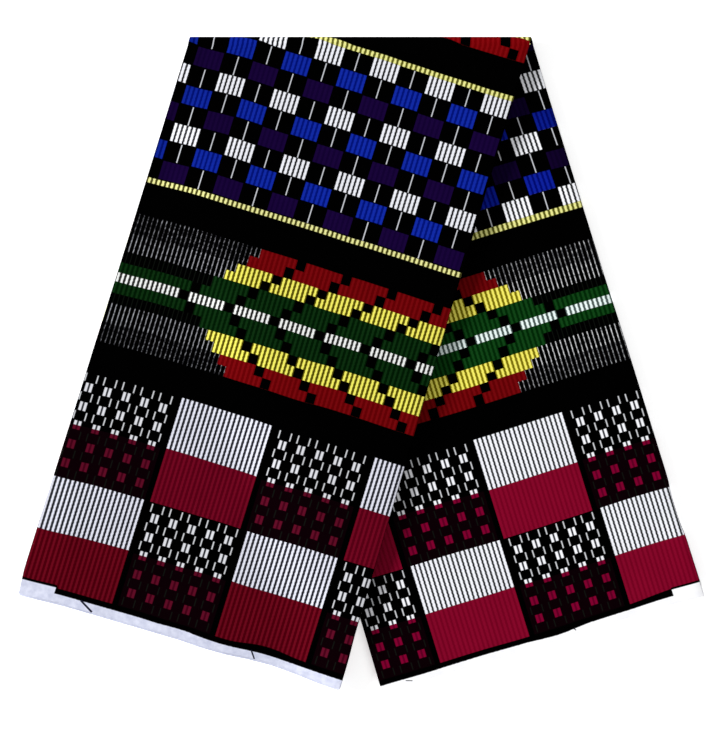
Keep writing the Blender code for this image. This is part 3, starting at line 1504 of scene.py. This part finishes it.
    def paint_solid_blocks(self, area: Signal, upper: Signal, rib: Signal, place: Signal) -> None:
        """Paint the solid blocks, white over red.

        Args:
            area: Mask of both rows of blocks.
            upper: 1 in the upper row.
            rib: How many ribs along a place is.
            place: How many ribs into its repeat it is.
        """
        rows, chart, sizes = self.rows, self.chart, self.chart.blocks
        white_low = upper.choose(self.pick(rows.lower_white), self.pick(rows.upper_white))
        white = (self.level - white_low).inside(chart.row_edge)
        trim = (1 - self.bar_width) * sizes.trim
        solid = area * (place > trim) * (place < sizes.solid_end - trim)
        bars = self.bar(rib, self.bar_width)
        self.lay_ink(self.red_ink(upper), solid * (1 - white), bars)
        self.lay_halves(Inks.NEAR_WHITE, Inks.FAR_WHITE, solid * white, bars)

    def paint_dotted_blocks(self, area: Signal, place: Signal, down: Signal) -> None:
        """Paint the dotted blocks: pairs of dots, and thin dashes between their rows.

        Args:
            area: Mask of both rows of blocks.
            place: How many ribs into its repeat a place is.
            down: How far down from the top of its row of blocks it is.
        """
        chart, sizes = self.chart, self.chart.blocks
        white = (sizes.white_depth - down).inside(chart.row_edge)
        dotted = area * (place > sizes.half_repeat) * (place < sizes.dotted_end)
        column = (place - sizes.half_repeat) % sizes.column - sizes.column / 2
        dots = self.line(abs(column) - sizes.dot_aside, sizes.dot_width)
        dashes = self.line(abs(column) - sizes.dash_aside, sizes.dash_width)
        dot_row = (sizes.dots_half - self.off_row(down, sizes.first_dots)).inside(chart.row_edge)
        dot_row = dot_row * (down > sizes.dots_high) * (down < sizes.dots_low)
        dash_row = (sizes.dashes_half - self.off_row(down, sizes.first_dashes)).inside(chart.row_edge)
        pair = self.line(column, sizes.pair_width)
        self.lay(Inks.DOT_GROUND.value.gap, dotted * (1 - white))
        self.lay(Inks.DOT_LINE.value.bar, dotted * white * dashes * dash_row)
        self.lay(Inks.GROUND_LINE.value.bar, dotted * (1 - white) * dashes * dash_row)
        spot = dotted * pair * dot_row
        self.lay_halves(Inks.DOT, Inks.FAR_DOT, spot * (1 - white), dots)
        self.lay_halves(Inks.WHITE_DOT, Inks.FAR_WHITE_DOT, spot * white, dots)

    def off_row(self, down: Signal, first: float) -> Signal:
        """Return how far a place is from the nearest of evenly spaced rows."""
        pitch = self.chart.blocks.row_pitch
        return abs((down - first + pitch / 2) % pitch - pitch / 2)

    def humps(self, humps: Sequence[Hump]) -> Signal:
        """Work out how far a border's edge rises at a place along the cloth.

        Args:
            humps: The humps of the edge.

        Returns:
            The rise in millimetres.
        """
        rise: Number = 0.0
        for hump in humps:
            half, along = self.half_of(hump.far)
            aside = (along - hump.middle) / hump.half
            fall = (1 - aside * aside).at_least(0.0)
            rise = fall * fall * half * hump.rise + rise
        return rise

    def bare_share(self, bare: BarePlace, clear: float, soft: float) -> Signal:
        """Mask the stretch of a border beside a bare place.

        Args:
            bare: The bare place.
            clear: How far past it the stretch goes.
            soft: How wide the mask's own edge is.

        Returns:
            1 beside the bare place, and 0 elsewhere.
        """
        half, along = self.half_of(bare.far)
        return (bare.half + clear - abs(along - bare.middle)).inside(soft) * half

    def rungs(self, place: Signal, edges: Sequence[float]) -> Signal:
        """Count the edges that a place is above.

        Args:
            place: The place.
            edges: The edges, from the lowest.

        Returns:
            The count.
        """
        count = place > edges[0]
        for edge in edges[1:]:
            count = count + (place > edge)
        return count

    def red_ink(self, upper: Signal) -> Ink:
        """Blend the dark red, a shade brighter higher up and on the far half."""
        near = self.blend(Inks.MAROON.value, Inks.UPPER_MAROON.value, upper)
        return self.blend(near, Inks.CRIMSON.value, self.far)

    def paint_arrows(self) -> None:
        """Paint the band of nested arrows in white, green, yellow and red."""
        rows, chart, sizes = self.rows, self.chart, self.chart.arrows
        rib = self.ribs(*chart.arrow_ribs)
        near_row = self.rungs(self.level, NEAR_ARROW_EDGES)
        far_row = self.rungs(self.far_up, FAR_ARROW_EDGES)
        step = abs(self.pick(Halves(near_row, far_row)) - sizes.middle_row)
        area = self.band(rows.arrow_low, rows.arrow_high)
        past = rib.floor() - step * sizes.lean
        self.paint_thin_lines(area, step, past, rib)
        printed = (past > -0.5) * (past % sizes.repeat < sizes.printed)
        lead_in = self.among(step, sizes.lead_in_rows) * (past < sizes.lead_in)
        shown = area * (printed + lead_in).at_most(1.0)
        bars = self.bar(rib, self.pick(chart.arrow_bar_width))
        for near, far, inked in (
            (Inks.RED, Inks.RED, sizes.red_rows),
            (Inks.YELLOW, Inks.FAR_YELLOW, sizes.yellow_rows),
            (Inks.GREEN, Inks.FAR_GREEN, sizes.green_rows),
            (Inks.NEAR_ARROW_WHITE, Inks.FAR_ARROW_WHITE, sizes.white_rows),
        ):
            self.lay_halves(near, far, shown * self.among(step, inked), bars)

    def paint_thin_lines(self, area: Signal, step: Signal, past: Signal, rib: Signal) -> None:
        """Paint the speckled grey lines before the arrows, and the dark ones beside the green.

        Args:
            area: Mask of the band of arrows.
            step: How many rows from the arrows' middle a place is.
            past: How many ribs past the arrows' slanting start it is.
            rib: How many ribs along it is.
        """
        sizes = self.chart.arrows
        thin = self.line((rib + 0.5) % 1.0 - 0.5, sizes.thin_width)
        cloud = self.noise(
            rib.floor() * sizes.rib_spread, self.level, sizes.speckle_scale, sizes.speckle_detail
        )
        speckle = cloud * sizes.speckle_contrast - sizes.speckle_floor
        speckle = (speckle - self.among(step, sizes.red_rows) * sizes.outer_fade).clamped()
        grey = self.blend(Inks.GREY.value, Inks.FAR_GREY.value, self.far)
        before = area * (past < -0.5) * thin
        grey_area = before * self.among(step, sizes.grey_rows)
        self.lay(self.bench.lay(grey.gap, grey.bar, speckle), grey_area)
        self.lay(Inks.GROUND_LINE.value.bar, before * self.among(step, sizes.dark_rows))

    def check_place(self) -> Signal:
        """Return how many pairs of checks along a place is."""
        return self.ribs(*self.chart.check_pairs)

    def paint_yellow_rows(self) -> None:
        """Paint the three rows of yellow dots."""
        rows = self.rows
        ribs = self.check_place() * self.chart.checks.ribs
        bars = self.bar(ribs, self.chart.bead_width)
        own_ribs = (self.along - self.chart.near_yellow.start) / self.chart.near_yellow.pitch
        low_bars = self.bar(self.pick(Halves(own_ribs, ribs)), self.chart.bead_width)
        low_row = self.band(rows.yellow_low, rows.yellow_low + rows.yellow_height)
        self.lay_halves(Inks.BEAD, Inks.VIVID_BEAD, low_row, low_bars)
        for low in (rows.checks_high, rows.stepped_high):
            self.lay_ink(Inks.VIVID_BEAD.value, self.band(low, low + rows.yellow_height), bars)

    def paint_checks(self) -> None:
        """Paint the checks in white, blue and purple, with a thin line in each black one."""
        rows, chart, sizes = self.rows, self.chart, self.chart.checks
        near, far = NEAR_CHECK_ROWS, FAR_CHECK_ROWS
        triple = ((self.level - rows.checks_low) / rows.check_triple).floor()
        up = (self.level - rows.checks_low) - triple * rows.check_triple
        breaks = [self.pick(Halves(*pair)) for pair in zip(near.breaks, far.breaks)]
        row = triple * sizes.rows + (up > breaks[0]) + (up > breaks[1])
        place = (self.check_place() + row * 0.5) % 1.0
        # The checks stop short of the fold, which leaves black ground there as painted shade.
        area = self.band(rows.checks_low, rows.checks_high) * self.off_painted_fold_shade
        cell = area * (place > sizes.low) * (place < sizes.high)
        bars = self.bar(place * sizes.ribs, chart.check_bar_width)
        # Painted shade over the blue and purple checks, darker towards the cloth's outer edges.
        edge_shade = self.painted_edge_shade()
        for inks, near_row, far_row, painted_shade in (
            ((Inks.PURPLE, Inks.FAR_PURPLE), near.purple, far.purple, edge_shade),
            ((Inks.BLUE, Inks.FAR_BLUE), near.blue, far.blue, edge_shade),
            ((Inks.WHITE, Inks.BRIGHT_WHITE), near.white, far.white, 0.0),
        ):
            low, high = (self.pick(Halves(*pair)) for pair in zip(near_row, far_row))
            shown = cell * (up - low).inside(chart.row_edge) * (high - up).inside(chart.row_edge)
            self.lay_halves(*inks, shown, bars)
            # Painted shade: black laid over the blue and purple checks.
            self.lay(BLACK, shown * painted_shade)
        thread = (sizes.thread_half - abs(place - sizes.thread_place)).inside(sizes.thread_soft)
        thread = area * thread
        for place_up in (0.0, *breaks, rows.check_triple):
            thread = thread * (abs(up - place_up) - sizes.thread_clear).inside(chart.row_edge)
        self.lay(Inks.LINE.value.bar, thread)

    def painted_edge_shade(self) -> Signal:
        """Work out a painted shade over the checks, darker towards the cloth's outer edges.

        Returns:
            The share of black laid over them as painted shade.
        """
        outer = self.pick(Halves(self.along, self.far_along))
        edge, broad = (
            (1 - outer / edge_shade.reach).at_least(0.0) * edge_shade.dark
            for edge_shade in self.chart.checks.edge_shade
        )
        return edge + broad

    def paint_stepped_row(self) -> None:
        rows, sizes = self.rows, self.chart.arrows
        row = ((self.level - rows.stepped_low) / rows.stepped_row).floor()
        rib = (self.along - sizes.steps.start) / sizes.steps.pitch + row * sizes.lean
        area = self.band(rows.stepped_low, rows.stepped_high)
        shown = area * (rib.floor() % sizes.repeat < sizes.printed) * (1 - self.far)
        self.lay_ink(Inks.STEP_RED.value, shown, self.bar(rib, self.bar_width))

    def paint_selvedge(self) -> None:
        """Paint the white selvedges, the bare places in the borders, and stray dye."""
        sizes = self.chart.selvedges
        ragged = self.noise(self.along, self.up, sizes.ragged_scale, sizes.ragged_detail)
        ragged = ragged * sizes.ragged - sizes.ragged / 2
        white = (self.humps(GROUND_HUMPS) - self.level + ragged).inside(sizes.soft)
        for place in BARE_PLACES:
            below = (place.top - self.level).inside(sizes.soft)
            white = self.bare_share(place, 0.0, sizes.soft) * below + white
        blotch = self.noise(self.along, self.up, sizes.blotch_scale, sizes.blotch_detail) - 0.5
        blotch = (blotch * sizes.blotch_contrast + 0.5).clamped()
        tones = self.blend(NEAR_SELVEDGE, FAR_SELVEDGE, self.far)
        self.lay(self.bench.lay(tones.bar, tones.gap, blotch), white.at_most(1.0))
        for tick in TICKS:
            self.lay(TICK_DYE, self.stroke(tick))

    def stroke(self, tick: Tick) -> Signal:
        """Mask a thin stroke of dye.

        Args:
            tick: The stroke.

        Returns:
            1 on the stroke, and 0 elsewhere.
        """
        sizes = self.chart.selvedges
        run, rise = tick.end[0] - tick.start[0], tick.end[1] - tick.start[1]
        length = math.hypot(run, rise)
        half, along = self.half_of(tick.far)
        right, up = along - tick.start[0], self.level - tick.start[1]
        on = right * (run / length) + up * (rise / length)
        aside = right * (rise / length) - up * (run / length)
        beside = (tick.half - abs(aside)).inside(sizes.tick_soft)
        return half * beside * on.inside(sizes.soft) * (length - on).inside(sizes.soft)

    def noise(self, along: Signal, up: Signal, scale: float, detail: float) -> Signal:
        """Return cloudy noise from 0 to 1.

        Args:
            along: Place along the cloth.
            up: Place across the cloth.
            scale: How many clouds fit a millimetre.
            detail: How many finer clouds there are in each.

        Returns:
            The noise.
        """
        place = self.bench.node("ShaderNodeCombineXYZ", None, {"X": along, "Y": up})
        made = self.bench.node(
            "ShaderNodeTexNoise", None, {"Vector": place.outputs[0], "Scale": scale, "Detail": detail}
        )
        return Signal(self.bench, made.outputs[0])

    def finish(self) -> None:
        """Add the cloth's own unevenness and weave, and link the shader."""
        cotton = self.chart.cotton
        cloud = self.noise(self.along, self.up, cotton.mottle_scale, cotton.mottle_detail)
        shaded = self.bench.node(
            "ShaderNodeMix",
            {"data_type": "RGBA", "blend_type": "MULTIPLY"},
            {0: 1.0, MIX_UNDER: self.colour, MIX_OVER: cloud * cotton.mottle + cotton.mottle_low},
        )
        thread = 2 * math.pi / cotton.thread_pitch
        weave = (self.along * thread).sine() * (self.up * thread).sine()
        relief = {
            "Strength": cotton.bump_strength, "Distance": cotton.bump_distance, "Height": weave,
        }
        bump = self.bench.node("ShaderNodeBump", None, relief)
        self.bench.shade({
            "Base Color": shaded.outputs[MIX_RESULT],
            "Roughness": cotton.roughness,
            "Normal": bump.outputs[0],
        })


class Softbox(NamedTuple):
    """A square soft light that looks at the cloth."""

    name: str
    place: tuple[float, float, float]
    size: float
    power: float


@dataclass(frozen=True)
class Studio:
    """The pale floor, the soft light and the camera straight above the cloth."""

    photo_scale: float = 0.93 * MM
    photo_size: tuple[int, int] = (710, 736)
    crease_middle_px: float = 361.2
    foot_px: float = 693.3
    camera_height: float = 6.0
    sensor: float = 36.0
    camera_reach: float = 20.0
    floor_half: float = 4.0
    floor_tone: RGB = (0.93, 0.93, 0.93)
    floor_roughness: float = 0.9
    floor_glow: float = 0.55
    air_light: float = 0.31
    softboxes: tuple[Softbox, ...] = (
        Softbox("key_softbox", (-13.8, 3.0, 5.7), 4.5, 3900.0),
        Softbox("top_softbox", (1.3, 0.1, 2.6), 2.2, 20.0),
    )

    def floor(self) -> bpy.types.Object:
        """Lay the floor, which isn't part of the cloth.

        Returns:
            The floor.
        """
        mesh = bpy.data.meshes.new("studio_floor")
        half = self.floor_half
        corners = [(-half, -half, 0), (half, -half, 0), (half, half, 0), (-half, half, 0)]
        mesh.from_pydata(corners, [], [(0, 1, 2, 3)])
        material = bpy.data.materials.new("studio_floor")
        NodeBench(material).shade({
            "Base Color": self.floor_tone,
            "Roughness": self.floor_roughness,
            "Emission Color": (1.0, 1.0, 1.0),
            "Emission Strength": self.floor_glow,
        })
        mesh.materials.append(material)
        floor = add_object("studio_floor", mesh)
        return floor

    def softbox(self, box: Softbox) -> bpy.types.Object:
        """Hang a soft light.

        Args:
            box: Its name, place, size and power.

        Returns:
            The light.
        """
        light = bpy.data.lights.new(box.name, "AREA")
        light.size = box.size
        light.energy = box.power
        hung = add_object(box.name, light)
        hung.location = box.place
        hung.rotation_mode = "QUATERNION"
        hung.rotation_quaternion = Vector(box.place).to_track_quat("Z", "Y")
        return hung

    def air(self) -> None:
        """Fill the room with even light."""
        world = bpy.data.worlds.new("studio_air")
        world.use_nodes = True
        background = world.node_tree.nodes["Background"]
        background.inputs["Color"].default_value = (1.0, 1.0, 1.0, 1.0)
        background.inputs["Strength"].default_value = self.air_light
        bpy.context.scene.world = world

    def camera(self, shift: tuple[float, float]) -> bpy.types.Object:
        """Look straight down at the place that the photograph is centred on.

        Args:
            shift: How far the cloth was moved to stand on its origin.

        Returns:
            The camera, set as the scene's.
        """
        wide, high = self.photo_size
        lens = bpy.data.cameras.new("photo_camera")
        lens.sensor_width = self.sensor
        lens.lens = self.sensor * self.camera_height / (max(wide, high) * self.photo_scale)
        lens.clip_end = self.camera_reach
        camera = add_object("photo_camera", lens)
        x = (wide / 2 - self.crease_middle_px) * self.photo_scale + shift[0]
        y = (self.foot_px - high / 2) * self.photo_scale + shift[1]
        camera.location = (x, y, self.camera_height)
        bpy.context.scene.camera = camera
        return camera

    def build(self, shift: tuple[float, float]) -> None:
        """Build the whole studio.

        Args:
            shift: How far the cloth was moved to stand on its origin.
        """
        self.floor()
        for box in self.softboxes:
            self.softbox(box)
        self.air()
        self.camera(shift)
        bpy.context.scene.view_settings.view_transform = "Standard"


def main() -> None:
    """Build the cloth and the studio round it."""
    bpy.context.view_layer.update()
    folded = FoldedCloth()
    low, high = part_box(CAD_NODE)
    sheet = folded.build(low, high)
    material = bpy.data.materials.new("wax_print_cotton")
    PrintChart().dress(material)
    sheet.data.materials.append(material)
    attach(sheet, CAD_BODY)
    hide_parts(CAD_NODE)
    LOG.info("%s has %d faces", sheet.name, len(sheet.data.polygons))
    Studio().build((0.0, high.y - folded.crease_y))


if __name__ == "__main__":
    main()
